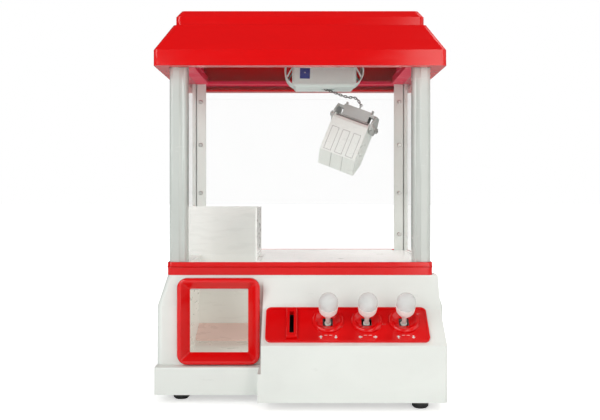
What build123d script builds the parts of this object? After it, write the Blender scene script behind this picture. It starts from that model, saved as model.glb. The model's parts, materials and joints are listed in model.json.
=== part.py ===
from build123d import *
import math
import os

# Claw crane machine, table-top toy size.  Millimetres, +Z up, the play side faces -Y.
# The origin is the centre of the bounding box's bottom face, so the feet stand on z = 0.

# ---------------------------------------------------------------- driving dimensions
OVERALL_HEIGHT = 440.0
WALL = 2.5                      # moulded shell thickness
THIN = 2.0                      # thinner inner mouldings

# glazed cabinet
COLUMN = 20.0                   # section of the four uprights
CABINET_HALF = 148.0            # half width over the uprights
FRONT_Y = -86.0                 # front face of the front columns
BACK_Y = 132.0                  # rear face of the rear posts
COLUMN_TOP = 381.0
PANE = 1.5                      # clear sheet thickness
PANE_INSET = 5.0                # pane behind the outer face of the uprights
GROOVE = 3.0                    # depth of the pane grooves

# roof
ROOF_HALF = 163.5
ROOF_FRONT = -101.4
ROOF_BACK = 148.4
SKIRT_BOTTOM = 373.6
SKIRT_TOP = 391.2
HIP_TOP = 422.4
HIP_INSET = 19.2
CAP_INSET = 21.8
CAP_SHOULDER = 432.4
CAP_CHAMFER = 5.4
LIP_THICK = 2.4

# base
FOOT_HEIGHT = 9.7
FOOT_RADIUS = 9.0
BASE_HALF = 160.0
BASE_FRONT = -98.3
BASE_BACK = 144.3
FLARE_Z = 105.0                 # the walls lean in above this level
BASE_TOP = 138.8
BAND_HALF = 150.0
BAND_TOP = 153.5
BED_TOP = 153.0
PLINTH_FRONT = -113.5
PLINTH_TOP = 40.0
CONSOLE_FRONT = -147.5
CONSOLE_LEFT = -41.5
CONSOLE_STEP = 3.5
CONSOLE_RIGHT = 156.0
CONSOLE_EDGE_Z = 69.9           # where the front face meets the control slope
SLOPE_LOW = (-142.4, 72.4)      # (y, z) of the control slope's lower edge
SLOPE_HIGH = (-103.8, 102.9)    # (y, z) of its upper edge

# control panel, in the slope's own plane
PANEL_W = 176.0
PANEL_H = 49.0
PANEL_X = 50.75
PANEL_THICK = 2.0
BOSS_RADIUS = 17.0
BOSS_RISE = 3.2
BOSS_UP = 4.5                   # bosses sit above the panel's middle
STICK_X = (30.3, 72.5, 113.2)
STICK_HOLE = 11.0
STICK_RADIUS = 2.5
STICK_PIVOT = -9.0
KNOB_RADIUS = 10.7
KNOB_UP = 31.2
COIN_X = -9.0
COIN_SLOT = (4.6, 31.0)
COIN_SEAT = (9.0, 38.0)         # hole in the panel that the coin block's spigot fills

# prize bay
BAY_X = -90.5
BAY_Z = 89.0
BEZEL_W = 92.0
BEZEL_H = 96.0
BEZEL_CORNER = 11.0
BEZEL_FRONT = -106.5
BAY_W = 65.0
BAY_H = 71.0
CHUTE = (-130.0, -50.0, -96.0, 28.0)     # x0, x1, y0, y1 outside
CHUTE_FLOOR = 45.0
GUARD_TOP = 214.7

# crane
CRANE_Y = 4.0                   # rest position of the bridge's centre line
RAIL_X = 134.0
RAIL_TOP = 393.0
RAIL_Y = (-66.0, 128.0)
FRAME_OPENING = (-126.0, 126.0, -64.0, 110.0)   # x0, x1, y0, y1 in the top frame
TRUCK = (-24.0, 42.0)           # fore and aft reach from the bridge's centre line
MODULE = 1.0
AXLE_TEETH = 14
AXLE_OFFSET = 30.0              # pinion axle behind the bridge's centre line
ROD_Z = 401.0
ROD_RADIUS = 2.5
ROD_OFFSET = 18.0
CARRIAGE_X = (-8.0, 67.0)
CARRIAGE_HALF_DEPTH = 25.0
CARRIAGE_BOTTOM = 360.0
CARRIAGE_SPLIT = 366.0
CARRIAGE_TOP = 397.0
CHAIN_X = 30.6
CHAIN_TOP = 431.0
PINION_TEETH = 12
PINION_X = 10.0
PINION_Z = 413.0
RACK_BACK = 400.0
WHEEL_RADIUS = 8.0
WHEEL_Z = 384.5
RUN_CLEAR = 0.05                # radial clearance of shafts in their bores

# chain link
LINK_WIRE = 0.4                 # wire radius
LINK_INNER = 3.3
LINK_GAP = 1.5                  # inside width
LINK_PITCH = 3.22
# (x, z) of the slack run from the carriage to the claw's eye
CHAIN_DROP = (
    (30.6, 360.6), (38.5, 357.6), (46.0, 355.1), (53.4, 352.0), (60.9, 350.1), (67.1, 350.4), (72.1, 347.0),
    (75.8, 340.2),
)

# claw, measured down from the chain eye in the claw's own frame
CLAW_EYE = (75.8, 340.2)
CLAW_ROLL = 22.0
CLAW_YAW = -17.0
CLAW_HALF = 23.5
CLAW_DEPTH = 18.0
JAW_TOP = -26.8
JAW_CREASE = -68.8
JAW_BOTTOM = -85.2
JAW_PIN = (11.0, -22.5)
JAW_PIN_RADIUS = 1.25

# base fittings: (x, y) places and (x0, x1, y0, y1) openings in the floor
FOOT_PLACES = ((-134.0, -86.0), (130.0, -126.0), (-134.0, 122.0), (134.0, 122.0))
PLATE_SCREWS = (
    (-148.0, -20.0), (-148.0, 60.0), (148.0, -60.0), (148.0, 50.0), (0.0, 134.0), (60.0, -138.0),
)
BATTERY_HATCH = (-64.0, 44.0, 52.0, 116.0)
COIN_HATCH = (-30.0, 14.0, -138.0, -102.0)
CELL_RADIUS = 13.0
CELL_LENGTH = 46.0
CELL_COUNT = 4
CELL_Z = 30.0
SPEAKER = (20.0, 55.0)          # (x, z) on the rear wall
JACK = (104.0, 30.0)
POST_SCREW_X = 136.5
POST_SCREW_Z = (356.6, 297.5, 231.5, 175.0)

# rear door, hung on two pins at the left
DOOR_AXIS = (-138.0, 128.0)
DOOR_LOW = 156.0
DOOR_HIGH = 371.0
DOOR_REACH = 142.0
DOOR_KNOB_Z = 262.0

# derived
CABINET_MID_Y = (FRONT_Y + BACK_Y) / 2
ROOF_MID_Y = (ROOF_FRONT + ROOF_BACK) / 2
ROOF_DEPTH = ROOF_BACK - ROOF_FRONT
AXLE_Y = CRANE_Y + AXLE_OFFSET
AXLE_Z = RAIL_TOP + 1.25 * MODULE + MODULE * AXLE_TEETH / 2
PINION_PITCH = MODULE * PINION_TEETH / 2
CARRIAGE_Y = (CRANE_Y - CARRIAGE_HALF_DEPTH, CRANE_Y + CARRIAGE_HALF_DEPTH)
WHEEL_X = CHAIN_X + LINK_GAP / 2 + 2 * LINK_WIRE + 0.35 + WHEEL_RADIUS


# ---------------------------------------------------------------- shape helpers
def block(x0, x1, y0, y1, z0, z1):
    """A box between two corners."""
    return Pos((x0 + x1) / 2, (y0 + y1) / 2, (z0 + z1) / 2) * Box(x1 - x0, y1 - y0, z1 - z0)


def rod(axis, centre, radius, start, end):
    """A cylinder along X, Y or Z between two coordinates; centre holds the other two."""
    length = end - start
    middle = (start + end) / 2
    if axis == "X":
        return Pos(middle, centre[0], centre[1]) * Rot(Y=90) * Cylinder(radius, length)
    if axis == "Y":
        return Pos(centre[0], middle, centre[1]) * Rot(X=90) * Cylinder(radius, length)
    return Pos(centre[0], centre[1], middle) * Cylinder(radius, length)


def frustum(half_low, mid_y_low, deep_low, z_low, half_high, mid_y_high, deep_high, z_high, corner):
    """A rectangular tapered block with rounded upright corners."""
    low = Pos(0, mid_y_low, z_low) * RectangleRounded(2 * half_low, deep_low, corner)
    high = Pos(0, mid_y_high, z_high) * RectangleRounded(2 * half_high, deep_high, corner)
    return loft([low, high])


def prism_x(points, x0, x1, inset=0):
    """A YZ outline, shrunk by inset, pushed from x0 to x1."""
    face = make_face(Polyline(*[(0, y, z) for y, z in points], close=True))
    if inset:
        face = offset(face, -inset, kind=Kind.INTERSECTION)
    return Pos(x0, 0, 0) * extrude(face, x1 - x0, dir=(1, 0, 0))


def prism_y(points, y0, y1):
    """An XZ outline pushed from y0 to y1."""
    face = make_face(Polyline(*[(x, 0, z) for x, z in points], close=True))
    return Pos(0, y0, 0) * extrude(face, y1 - y0, dir=(0, 1, 0))


def rounded_y(x, z, width, height, corner, y0, y1):
    """A rounded rectangle facing the front, from y0 to y1."""
    face = Pos(x, y1, z) * Rot(X=90) * RectangleRounded(width, height, corner)
    return extrude(face, y1 - y0, dir=(0, -1, 0))


# (share of a tooth step, height over the pitch line in modules)
GEAR_TOOTH = ((-0.29, -1.2), (-0.21, 0.0), (-0.11, 0.9), (0.11, 0.9), (0.21, 0.0), (0.29, -1.2))
RACK_TOOTH = ((-0.30, -1.25), (-0.21, 0.0), (-0.12, 0.9), (0.12, 0.9), (0.21, 0.0), (0.30, -1.25))


def gear_outline(teeth, phase):
    """Straight-flanked spur teeth with backlash."""
    pitch_r = MODULE * teeth / 2
    step = 2 * math.pi / teeth
    points = []
    for i in range(teeth):
        middle = i * step + phase
        for share, rise in GEAR_TOOTH:
            angle = middle + share * step
            radius = pitch_r + rise * MODULE
            points.append((radius * math.cos(angle), radius * math.sin(angle)))
    return points


def rack_outline(length, base, middle_gap):
    """A toothed edge along +U; the pitch line is at 0 and the back at -base."""
    step = math.pi * MODULE
    count = int(length / 2 / step)
    points = [(-length / 2, -base), (-length / 2, -1.25 * MODULE)]
    for i in range(-count, count):
        middle = (i + 0.5) * step + middle_gap
        for share, rise in RACK_TOOTH:
            points.append((middle + share * step, rise * MODULE))
    points.append((length / 2, -1.25 * MODULE))
    points.append((length / 2, -base))
    return points


# The control slope's plane: x across, y up the slope, z out of the surface.
SLOPE_ANGLE = math.degrees(math.atan2(SLOPE_HIGH[1] - SLOPE_LOW[1], SLOPE_HIGH[0] - SLOPE_LOW[0]))
SLOPE_Y = (SLOPE_LOW[0] + SLOPE_HIGH[0]) / 2
SLOPE_Z = (SLOPE_LOW[1] + SLOPE_HIGH[1]) / 2
SLOPE = Pos(0, SLOPE_Y, SLOPE_Z) * Rot(X=SLOPE_ANGLE)


# ---------------------------------------------------------------- base
def base_outline(inset, bottom, top_inset):
    """The solid volume of the base, shrunk by inset."""
    deep = BASE_BACK - BASE_FRONT - 2 * inset
    mid = (BASE_FRONT + BASE_BACK) / 2
    corner = 6.0 - inset
    section = RectangleRounded(2 * (BASE_HALF - inset), deep, corner)
    lower = Pos(0, mid, bottom) * extrude(section, FLARE_Z - bottom)
    band_deep = 2 * (BACK_Y - CABINET_MID_Y + 2.0 - inset)
    upper = frustum(
        BASE_HALF - inset, mid, deep, FLARE_Z,
        BAND_HALF - inset, CABINET_MID_Y, band_deep, BASE_TOP - top_inset, corner,
    )
    plinth = block(
        -BASE_HALF + inset, CONSOLE_LEFT + 10, PLINTH_FRONT + inset, BASE_FRONT + 20,
        bottom, PLINTH_TOP - inset,
    )
    outline = [
        (CONSOLE_FRONT, bottom - inset), (CONSOLE_FRONT, CONSOLE_EDGE_Z), SLOPE_LOW, SLOPE_HIGH,
        (FRONT_Y - 1.5, BASE_TOP - top_inset + inset), (-60.0, BASE_TOP - top_inset + inset),
        (-60.0, bottom - inset),
    ]
    console = prism_x(outline, CONSOLE_LEFT + inset, CONSOLE_RIGHT - inset, inset)
    foot = block(
        CONSOLE_LEFT - CONSOLE_STEP + inset, CONSOLE_LEFT + 10, CONSOLE_FRONT + inset, BASE_FRONT,
        bottom, PLINTH_TOP - inset,
    )
    if inset == 0:
        plinth = fillet(plinth.edges().filter_by(Axis.X).group_by(Axis.Z)[-1].group_by(Axis.Y)[0], 2.0)
        console = fillet(console.edges().filter_by(Axis.Z).group_by(Axis.Y)[0].group_by(Axis.X)[-1], 4.0)
    return lower + upper + plinth + console + foot


def base_shell():
    shell = base_outline(0, FOOT_HEIGHT, 0) - base_outline(WALL, FOOT_HEIGHT - 5, WALL)
    # the deck is open inside the ring that carries the uprights
    shell -= block(-125.5, 125.5, FRONT_Y + COLUMN + 2, BACK_Y - COLUMN - 2, BASE_TOP - 8, BASE_TOP + 5)
    shell -= block(
        CHUTE[0] - 0.1, CHUTE[1] + 0.1, FRONT_Y + 3.4, CHUTE[3] + 0.1, BASE_TOP - 8, BASE_TOP + 5,
    )
    # hole behind the control panel, bay hole, rear fittings
    shell -= SLOPE * Pos(PANEL_X, 0, 0) * Box(PANEL_W - 8, PANEL_H - 8, 20)
    shell -= rounded_y(BAY_X, BAY_Z, BAY_W + 4.4, BAY_H + 4.4, 3.0, -103, -90)
    shell -= block(CHUTE[0] - 0.1, CHUTE[1] + 0.1, CHUTE[2] - 0.1, -90, CHUTE_FLOOR - 2.1, 130)
    shell -= rod("Y", JACK, 4.1, 130, 160)
    shell -= block(66.0, 82.0, 130, 160, 27.0, 33.0)
    for row in range(-2, 3):
        for column in range(-2, 3):
            shell -= rod("Y", (SPEAKER[0] + 7 * column, SPEAKER[1] + 7 * row), 1.6, 130, 160)
    return shell


def base_plate():
    face = base_outline(WALL + 0.1, FOOT_HEIGHT - 5, WALL)
    plate = face & block(-170, 170, -160, 160, FOOT_HEIGHT, FOOT_HEIGHT + WALL)
    for x, y in FOOT_PLACES:
        plate -= rod("Z", (x, y), 2.0, FOOT_HEIGHT - 5, FOOT_HEIGHT + 10)
    plate -= block(*BATTERY_HATCH, FOOT_HEIGHT - 1, FOOT_HEIGHT + 10)
    plate -= block(*COIN_HATCH, FOOT_HEIGHT - 1, FOOT_HEIGHT + 10)
    return plate


def rubber_feet():
    feet = []
    for x, y in FOOT_PLACES:
        pad = Pos(x, y, FOOT_HEIGHT / 2) * Cylinder(FOOT_RADIUS, FOOT_HEIGHT)
        pad = chamfer(pad.edges().filter_by(GeomType.CIRCLE).group_by(Axis.Z)[0], 2.0)
        stem = rod("Z", (x, y), 1.95, FOOT_HEIGHT - 0.5, FOOT_HEIGHT + 4)
        barb = rod("Z", (x, y), 2.8, FOOT_HEIGHT + WALL, FOOT_HEIGHT + WALL + 2)
        feet.append(pad + stem + barb)
    return Compound(feet)


def base_screws():
    screws = []
    for x, y in PLATE_SCREWS:
        screws.append(rod("Z", (x, y), 3.0, FOOT_HEIGHT - 1.6, FOOT_HEIGHT))
    return screws


def base_band():
    deep = BACK_Y - FRONT_Y + 4
    section = RectangleRounded(2 * BAND_HALF, deep, 5)
    outer = Pos(0, CABINET_MID_Y, BASE_TOP) * extrude(section, BAND_TOP - BASE_TOP)
    well = RectangleRounded(2 * CABINET_HALF + 0.2, BACK_Y - FRONT_Y + 0.2, 0.3)
    inner = Pos(0, CABINET_MID_Y, BASE_TOP - 1) * extrude(well, 30)
    rib = RectangleRounded(2 * BAND_HALF + 1.2, deep + 1.2, 5.5)
    ridge = Pos(0, CABINET_MID_Y, 147.4) * extrude(rib, 1.2)
    return outer + ridge - inner


# ---------------------------------------------------------------- prize bay
def prize_bezel():
    rim = rounded_y(BAY_X, BAY_Z, BEZEL_W, BEZEL_H, BEZEL_CORNER, BEZEL_FRONT, BASE_FRONT)
    rim = fillet(rim.edges().group_by(Axis.Y)[0], 2.2)
    spigot = rounded_y(BAY_X, BAY_Z, BAY_W + 4, BAY_H + 4, 2.8, BASE_FRONT - 1, CHUTE[2] - 0.2)
    mouth = RectangleRounded(BEZEL_W - 9, BEZEL_H - 9, 3.5)
    wide = Pos(BAY_X, BEZEL_FRONT - 0.01, BAY_Z) * Rot(X=90) * mouth
    narrow = Pos(BAY_X, CHUTE[2] - 1.2, BAY_Z) * Rot(X=90) * RectangleRounded(BAY_W, BAY_H, 1.0)
    funnel = loft([wide, narrow])
    throat = rounded_y(BAY_X, BAY_Z, BAY_W, BAY_H, 1.0, CHUTE[2] - 2, CHUTE[2] + 3)
    return rim + spigot - funnel - throat


def prize_tray():
    x0, x1, y0, y1 = CHUTE
    top = BASE_TOP
    tray = block(x0, x1, y0, y1, CHUTE_FLOOR - THIN, top)
    tray -= block(x0 + THIN, x1 - THIN, y0 - 1, y1 - THIN, CHUTE_FLOOR, top + 1)
    # relief that follows the leaning front wall of the base
    tray -= block(x0 - 1, x1 + 1, y0 - 1, FRONT_Y + 4.5, FLARE_Z - 5, top + 1)
    return tray


def chute_ramp():
    x0, x1, _, y1 = CHUTE
    width = x1 - x0 - 2 * THIN - 0.6
    plate = extrude(Rectangle(width, 42), THIN)
    plate = fillet(plate.edges().filter_by(Axis.Z).group_by(Axis.Y)[0], 5.0)
    return Pos((x0 + x1) / 2, y1 - THIN - 20.4, 58.0) * Rot(X=19) * plate


def prize_bed():
    edge = CABINET_HALF - 0.2
    rib = CABINET_HALF - 3.0
    outer = block(-edge, edge, FRONT_Y + 0.2, BACK_Y - 0.2, BASE_TOP, BED_TOP)
    hollow = block(-rib, rib, FRONT_Y + 3, BACK_Y - 3, BASE_TOP - 1, BED_TOP - WALL)
    collar = block(CHUTE[0] + THIN + 0.2, CHUTE[1], FRONT_Y + 0.5, CHUTE[3], BASE_TOP, BED_TOP)
    bed = outer - hollow + collar
    for side in (-1, 1):
        x0, x1 = sorted((side * (CABINET_HALF - COLUMN - 0.2), side * (CABINET_HALF + 5)))
        bed -= block(x0, x1, FRONT_Y - 5, FRONT_Y + COLUMN + 0.2, BASE_TOP - 1, BED_TOP + 1)
        bed -= block(x0, x1, BACK_Y - COLUMN - 0.2, BACK_Y + 5, BASE_TOP - 1, BED_TOP + 1)
    bed -= block(
        CHUTE[0] + 2 * THIN, CHUTE[1] - THIN, FRONT_Y + 3.4, CHUTE[3] - THIN, BASE_TOP - 1, BED_TOP + 1,
    )
    return bed


def chute_guard():
    x1 = CHUTE[1] + 1
    y1 = CHUTE[3] + 1
    right = block(x1 - THIN, x1, FRONT_Y + 7.5, y1, BED_TOP, GUARD_TOP)
    back = block(-CABINET_HALF + PANE_INSET + PANE + 0.5, x1, y1 - THIN, y1, BED_TOP, GUARD_TOP)
    guard = right + back
    guard = fillet(guard.edges().filter_by(Axis.Z).group_by(Axis.X)[-1].group_by(Axis.Y)[-1], 1.5)
    flange = block(x1, x1 + 4, FRONT_Y + 7.5, y1, BED_TOP, BED_TOP + 1.5)
    return guard + flange


# ---------------------------------------------------------------- control panel
def boss_centre(x):
    return Pos(x, BOSS_UP, PANEL_THICK)


def control_panel():
    plate = Pos(PANEL_X, 0, 0) * extrude(RectangleRounded(PANEL_W, PANEL_H, 6), PANEL_THICK)
    rim = Pos(PANEL_X, 0, 0) * extrude(RectangleRounded(PANEL_W, PANEL_H, 6), PANEL_THICK + 0.9)
    rim -= Pos(PANEL_X, 0, -1) * extrude(RectangleRounded(PANEL_W - 4, PANEL_H - 4, 4.5), 10)
    panel = plate + rim
    for x in STICK_X:
        boss = boss_centre(x) * Pos(0, 0, BOSS_RISE / 2) * Cylinder(BOSS_RADIUS, BOSS_RISE)
        boss = chamfer(boss.edges().filter_by(GeomType.CIRCLE).group_by(Axis.Z)[-1], 1.6)
        dish = boss_centre(x) * Pos(0, 0, BOSS_RISE + 12.6) * Sphere(18.5)
        panel += boss
        panel -= dish
    for x in STICK_X:
        panel -= boss_centre(x) * Box(STICK_HOLE, STICK_HOLE, 20)
    panel -= Pos(COIN_X, 0, 0) * Box(COIN_SEAT[0], COIN_SEAT[1], 20)
    return SLOPE * panel


def coin_slot_block():
    body = Pos(COIN_X, 0.5, PANEL_THICK) * extrude(Rectangle(12, PANEL_H - 6), 4.4)
    body = chamfer(body.edges().group_by(Axis.Z)[-1], 1.0)
    body += Pos(COIN_X, 0, 0) * extrude(Rectangle(COIN_SEAT[0] - 0.2, COIN_SEAT[1] - 0.2), PANEL_THICK)
    body -= Pos(COIN_X, 0, 0) * Box(COIN_SLOT[0], COIN_SLOT[1], 30)
    return SLOPE * body


def coin_channel():
    deep = 34.0
    tube = Pos(COIN_X, 0, -deep / 2 - 0.1) * Box(COIN_SLOT[0] + 3, COIN_SLOT[1] + 3, deep)
    tube -= Pos(COIN_X, 0, -deep / 2) * Box(COIN_SLOT[0], COIN_SLOT[1], deep + 4)
    return SLOPE * tube


def coin_box():
    x0, x1, y0, y1 = COIN_HATCH
    box = block(x0 - 3, x1 + 3, y0 - 2, y1 + 3, FOOT_HEIGHT + WALL, 46)
    box -= block(x0, x1, y0 + 0.5, y1, FOOT_HEIGHT, 60)
    return box


def hatch(place):
    x0, x1, y0, y1 = place
    cover = block(x0 + 0.3, x1 - 0.3, y0 + 0.3, y1 - 0.3, FOOT_HEIGHT, FOOT_HEIGHT + THIN)
    middle = (x0 + x1) / 2
    for i in range(-3, 4):
        rib = middle + 5 * i
        cover -= block(rib - 0.6, rib + 0.6, y0 + 6, y0 + 14, FOOT_HEIGHT - 1, FOOT_HEIGHT + 0.6)
    return cover


# ---------------------------------------------------------------- control sticks
def stick_frame(index):
    """The plane of a stick: its pivot pin runs along local X."""
    turn = 90 if index == 1 else 0
    return SLOPE * Pos(STICK_X[index], BOSS_UP, STICK_PIVOT) * Rot(Z=turn)


def stick_shaft(index):
    top = KNOB_UP - STICK_PIVOT
    shaft = Pos(0, 0, (top - 16) / 2) * Cylinder(STICK_RADIUS, top + 8)
    hub = Rot(Y=90) * Cylinder(4.0, 7.0)
    bore = Rot(Y=90) * Cylinder(1.5 + RUN_CLEAR, 20)
    skirt = Pos(0, 0, 6.5) * Cylinder(3.6, 3.0)
    return stick_frame(index) * (shaft + hub + skirt - bore)


def stick_knob(index):
    top = KNOB_UP - STICK_PIVOT
    low = top - 21.0
    neck = 4.6
    profile = Polyline(
        (0, low), (neck, low), (neck + 0.8, low + 1.5), (KNOB_RADIUS - 1.6, low + 6.0),
        (KNOB_RADIUS - 0.6, low + 9.0), (KNOB_RADIUS - 0.3, top - 4.0), (KNOB_RADIUS, top),
    )
    crown = CenterArc((0, top), KNOB_RADIUS, 0, 90)
    close = Line((0, top + KNOB_RADIUS), (0, low))
    knob = revolve(Rot(X=90) * make_face([profile, crown, close]), Axis.Z)
    knob -= Pos(0, 0, (low + top - 4) / 2) * Cylinder(STICK_RADIUS + 0.02, top - 4 - low + 0.02)
    return stick_frame(index) * knob


def stick_brackets():
    brackets = []
    for index in range(3):
        cheek_gap = 4.0
        under = -STICK_PIVOT
        parts = Pos(0, 0, under - 1.1) * (Box(22, 24, 2) - Box(STICK_HOLE, STICK_HOLE + 3, 10))
        for side in (-1, 1):
            cheek = Pos(side * (cheek_gap + 1.2), 0, under / 2 - 3.1) * Box(2.0, 12, under + 6)
            parts += cheek
        parts -= Rot(Y=90) * Cylinder(1.5, 40)
        brackets.append(stick_frame(index) * parts)
    return Compound(brackets)


def stick_pins():
    pins = []
    for index in range(3):
        pins.append(stick_frame(index) * Rot(Y=90) * Cylinder(1.5, 13))
    return Compound(pins)


def stick_switches():
    switches = []
    for index in range(3):
        for side in (-1, 1):
            body = Pos(0, side * 11.0, -10.0) * Box(6, 7, 12)
            lever = Pos(0, side * 6.9, -11.5) * Box(3, 1.0, 5)
            switches.append(stick_frame(index) * (body + lever))
    return Compound(switches)


# ---------------------------------------------------------------- electrics
def battery_box():
    x0, x1, y0, y1 = BATTERY_HATCH
    box = block(x0 - 3, x1 + 3, y0 - 3, y1 + 3, FOOT_HEIGHT + WALL, 52)
    box -= block(x0, x1, y0, y1, FOOT_HEIGHT, 49)
    return box


def cell_places():
    x0, x1, y0, y1 = BATTERY_HATCH
    step = (x1 - x0) / CELL_COUNT
    return [(x0 + step * (i + 0.5), (y0 + y1) / 2, 1 if i % 2 else -1) for i in range(CELL_COUNT)]


def battery_cells():
    cells = []
    for x, y, way in cell_places():
        can = rod("Y", (x, CELL_Z), CELL_RADIUS, y - CELL_LENGTH / 2, y + CELL_LENGTH / 2)
        end = y + way * CELL_LENGTH / 2
        nub = rod("Y", (x, CELL_Z), 2.7, min(end - 1, end + way * 1.5), max(end + 1, end + way * 1.5))
        cells.append(can + nub)
    return Compound(cells)


def battery_contacts():
    x0, x1, y0, y1 = BATTERY_HATCH
    contacts = []
    for x, _, _ in cell_places():
        contacts.append(block(x - 5, x + 5, y0, y0 + 0.8, 22, 38))
        contacts.append(block(x - 5, x + 5, y1 - 0.8, y1, 22, 38))
    return Compound(contacts)


def circuit_board():
    board = block(60, 128, 0, 56, 20.0, 21.6)
    parts = block(72, 90, 14, 32, 21.6, 24.6)
    parts += block(98, 106, 10, 18, 21.6, 30)
    parts += block(112, 124, 6, 30, 21.6, 29)
    for i in range(4):
        parts += rod("Z", (70 + 9 * i, 46.0), 2.5, 21.6, 31)
    for x, y in ((63.5, 3.5), (124.5, 3.5), (63.5, 52.5), (124.5, 52.5)):
        parts += rod("Z", (x, y), 2.5, FOOT_HEIGHT + WALL, 20.0)
    return board + parts


def speaker():
    back = BASE_BACK - WALL
    frame = rod("Y", SPEAKER, 20.0, back - 3, back)
    cone = rod("Y", SPEAKER, 13.0, back - 10, back - 3)
    magnet = rod("Y", SPEAKER, 9.0, back - 17, back - 10)
    hollow = rod("Y", SPEAKER, 16.0, back - 1.2, back + 1)
    return frame + cone + magnet - hollow


def power_jack():
    back = BASE_BACK
    body = rod("Y", JACK, 4.0, back - WALL - 10, back)
    flange = rod("Y", JACK, 6.0, back, back + 1.2)
    bore = rod("Y", JACK, 2.75, back - 9, back + 5)
    pin = rod("Y", JACK, 1.0, back - 9.5, back - 1)
    return body + flange - bore + pin


def power_switch_case():
    back = BASE_BACK - WALL
    case = block(62, 86, back - 9, back, 24, 36)
    case -= block(65.5, 82.5, back - 6, back + 1, 26.7, 33.3)
    return case


def power_switch_knob():
    back = BASE_BACK - WALL
    shoe = block(66.0, 76.0, back - 5.6, back - 1.0, 27.2, 32.8)
    nib = block(68.0, 74.0, back - 1.0, back + WALL + 2.2, 27.6, 32.4)
    nib = chamfer(nib.edges().group_by(Axis.Y)[-1], 0.6)
    return shoe + nib


# ---------------------------------------------------------------- uprights and glazing
def pane_slots():
    """Everything the panes need cut away in the uprights."""
    slack = 0.1
    front = block(
        -CABINET_HALF + COLUMN - GROOVE, CABINET_HALF - COLUMN + GROOVE,
        FRONT_Y + PANE_INSET - slack, FRONT_Y + PANE_INSET + PANE + slack, BED_TOP - 20, 400)
    slots = front
    for side in (-1, 1):
        outer = side * (CABINET_HALF - PANE_INSET + slack)
        inner = side * (CABINET_HALF - PANE_INSET - PANE - slack)
        x0, x1 = sorted((outer, inner))
        slots += block(x0, x1, FRONT_Y + COLUMN - GROOVE, BACK_Y - COLUMN + GROOVE + 2, BED_TOP - 20, 400)
    return slots


def front_column(side):
    x = side * (CABINET_HALF - COLUMN / 2)
    y = FRONT_Y + COLUMN / 2
    column = Pos(x, y, BASE_TOP) * extrude(RectangleRounded(COLUMN, COLUMN, 4.0), COLUMN_TOP - BASE_TOP)
    # a shallow flute down the outer face and a step beside the pane
    column -= rod("Z", (x - side * 4.0, FRONT_Y - 5.6), 6.4, BASE_TOP - 1, COLUMN_TOP + 1)
    return column - pane_slots()


def rear_post(side):
    x0, x1 = sorted((side * (CABINET_HALF - 18.6), side * CABINET_HALF))
    flange = block(x0, x1, BACK_Y - COLUMN, BACK_Y - COLUMN + 3, BASE_TOP, COLUMN_TOP)
    x0, x1 = sorted((side * (CABINET_HALF - 8.0), side * CABINET_HALF))
    web = block(x0, x1, BACK_Y - COLUMN, BACK_Y - COLUMN + 8, BASE_TOP, COLUMN_TOP)
    x0, x1 = sorted((side * (CABINET_HALF - WALL), side * CABINET_HALF))
    side_wall = block(x0, x1, BACK_Y - COLUMN, BACK_Y, BASE_TOP, COLUMN_TOP)
    post = flange + web + side_wall - pane_slots()
    for z in POST_SCREW_Z:
        post -= rod("Y", (side * POST_SCREW_X, z), 1.5, 100, 118)
    return post


def post_screws():
    screws = []
    for side in (-1, 1):
        for z in POST_SCREW_Z:
            x = side * POST_SCREW_X
            face = BACK_Y - COLUMN
            head = rod("Y", (x, z), 2.9, face - 1.6, face)
            head = chamfer(head.edges().filter_by(GeomType.CIRCLE).group_by(Axis.Y)[0], 0.8)
            slot = block(x - 2, x + 2, face - 2, face - 1.0, z - 0.4, z + 0.4)
            cross = block(x - 0.4, x + 0.4, face - 2, face - 1.0, z - 2, z + 2)
            shank = rod("Y", (x, z), 1.45, face, face + 5)
            screws.append(head - slot - cross + shank)
    return screws


def front_window():
    reach = CABINET_HALF - COLUMN + GROOVE - 0.3
    face = FRONT_Y + PANE_INSET
    return block(-reach, reach, face, face + PANE, BED_TOP + 0.05, COLUMN_TOP - 0.1)


def side_window(side):
    x0, x1 = sorted((side * (CABINET_HALF - PANE_INSET), side * (CABINET_HALF - PANE_INSET - PANE)))
    y0 = FRONT_Y + COLUMN - GROOVE + 0.3
    y1 = BACK_Y - COLUMN + GROOVE + 1.5
    return block(x0, x1, y0, y1, BED_TOP + 0.05, COLUMN_TOP - 0.1)


def rear_door():
    y = DOOR_AXIS[1]
    rim = block(-141.5, DOOR_REACH, y - 2.5, y + 2.5, DOOR_LOW, DOOR_HIGH)
    rim = fillet(rim.edges().filter_by(Axis.Z).group_by(Axis.X)[0], 2.4)
    rim -= block(-132, DOOR_REACH - 9, y - 1.0, y + 5, DOOR_LOW + 9, DOOR_HIGH - 9)
    rim -= block(-130, DOOR_REACH - 11, y - 5, y + 5, DOOR_LOW + 11, DOOR_HIGH - 11)
    rim += block(-131, DOOR_REACH - 10, y - 2.4, y - 1.0, DOOR_LOW + 10, DOOR_HIGH - 10)
    for z in (DOOR_LOW, DOOR_HIGH):
        rim -= rod("Z", DOOR_AXIS, 1.5 + RUN_CLEAR, z - 8, z + 8)
    return rim


def door_knob():
    y = DOOR_AXIS[1] + 2.5
    x = DOOR_REACH - 5
    stem = rod("Y", (x, DOOR_KNOB_Z), 2.2, y, y + 4)
    grip = rod("Y", (x, DOOR_KNOB_Z), 4.2, y + 4, y + 11)
    grip = fillet(grip.edges().filter_by(GeomType.CIRCLE), 1.2)
    return stem + grip


def door_pins():
    low = rod("Z", DOOR_AXIS, 1.5, BED_TOP, DOOR_LOW + 7)
    high = rod("Z", DOOR_AXIS, 1.5, DOOR_HIGH - 7, COLUMN_TOP)
    collar_low = rod("Z", DOOR_AXIS, 3.0, BED_TOP, DOOR_LOW - 0.4)
    collar_high = rod("Z", DOOR_AXIS, 3.0, DOOR_HIGH + 0.4, COLUMN_TOP)
    return Compound([low + collar_low, high + collar_high])


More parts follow.
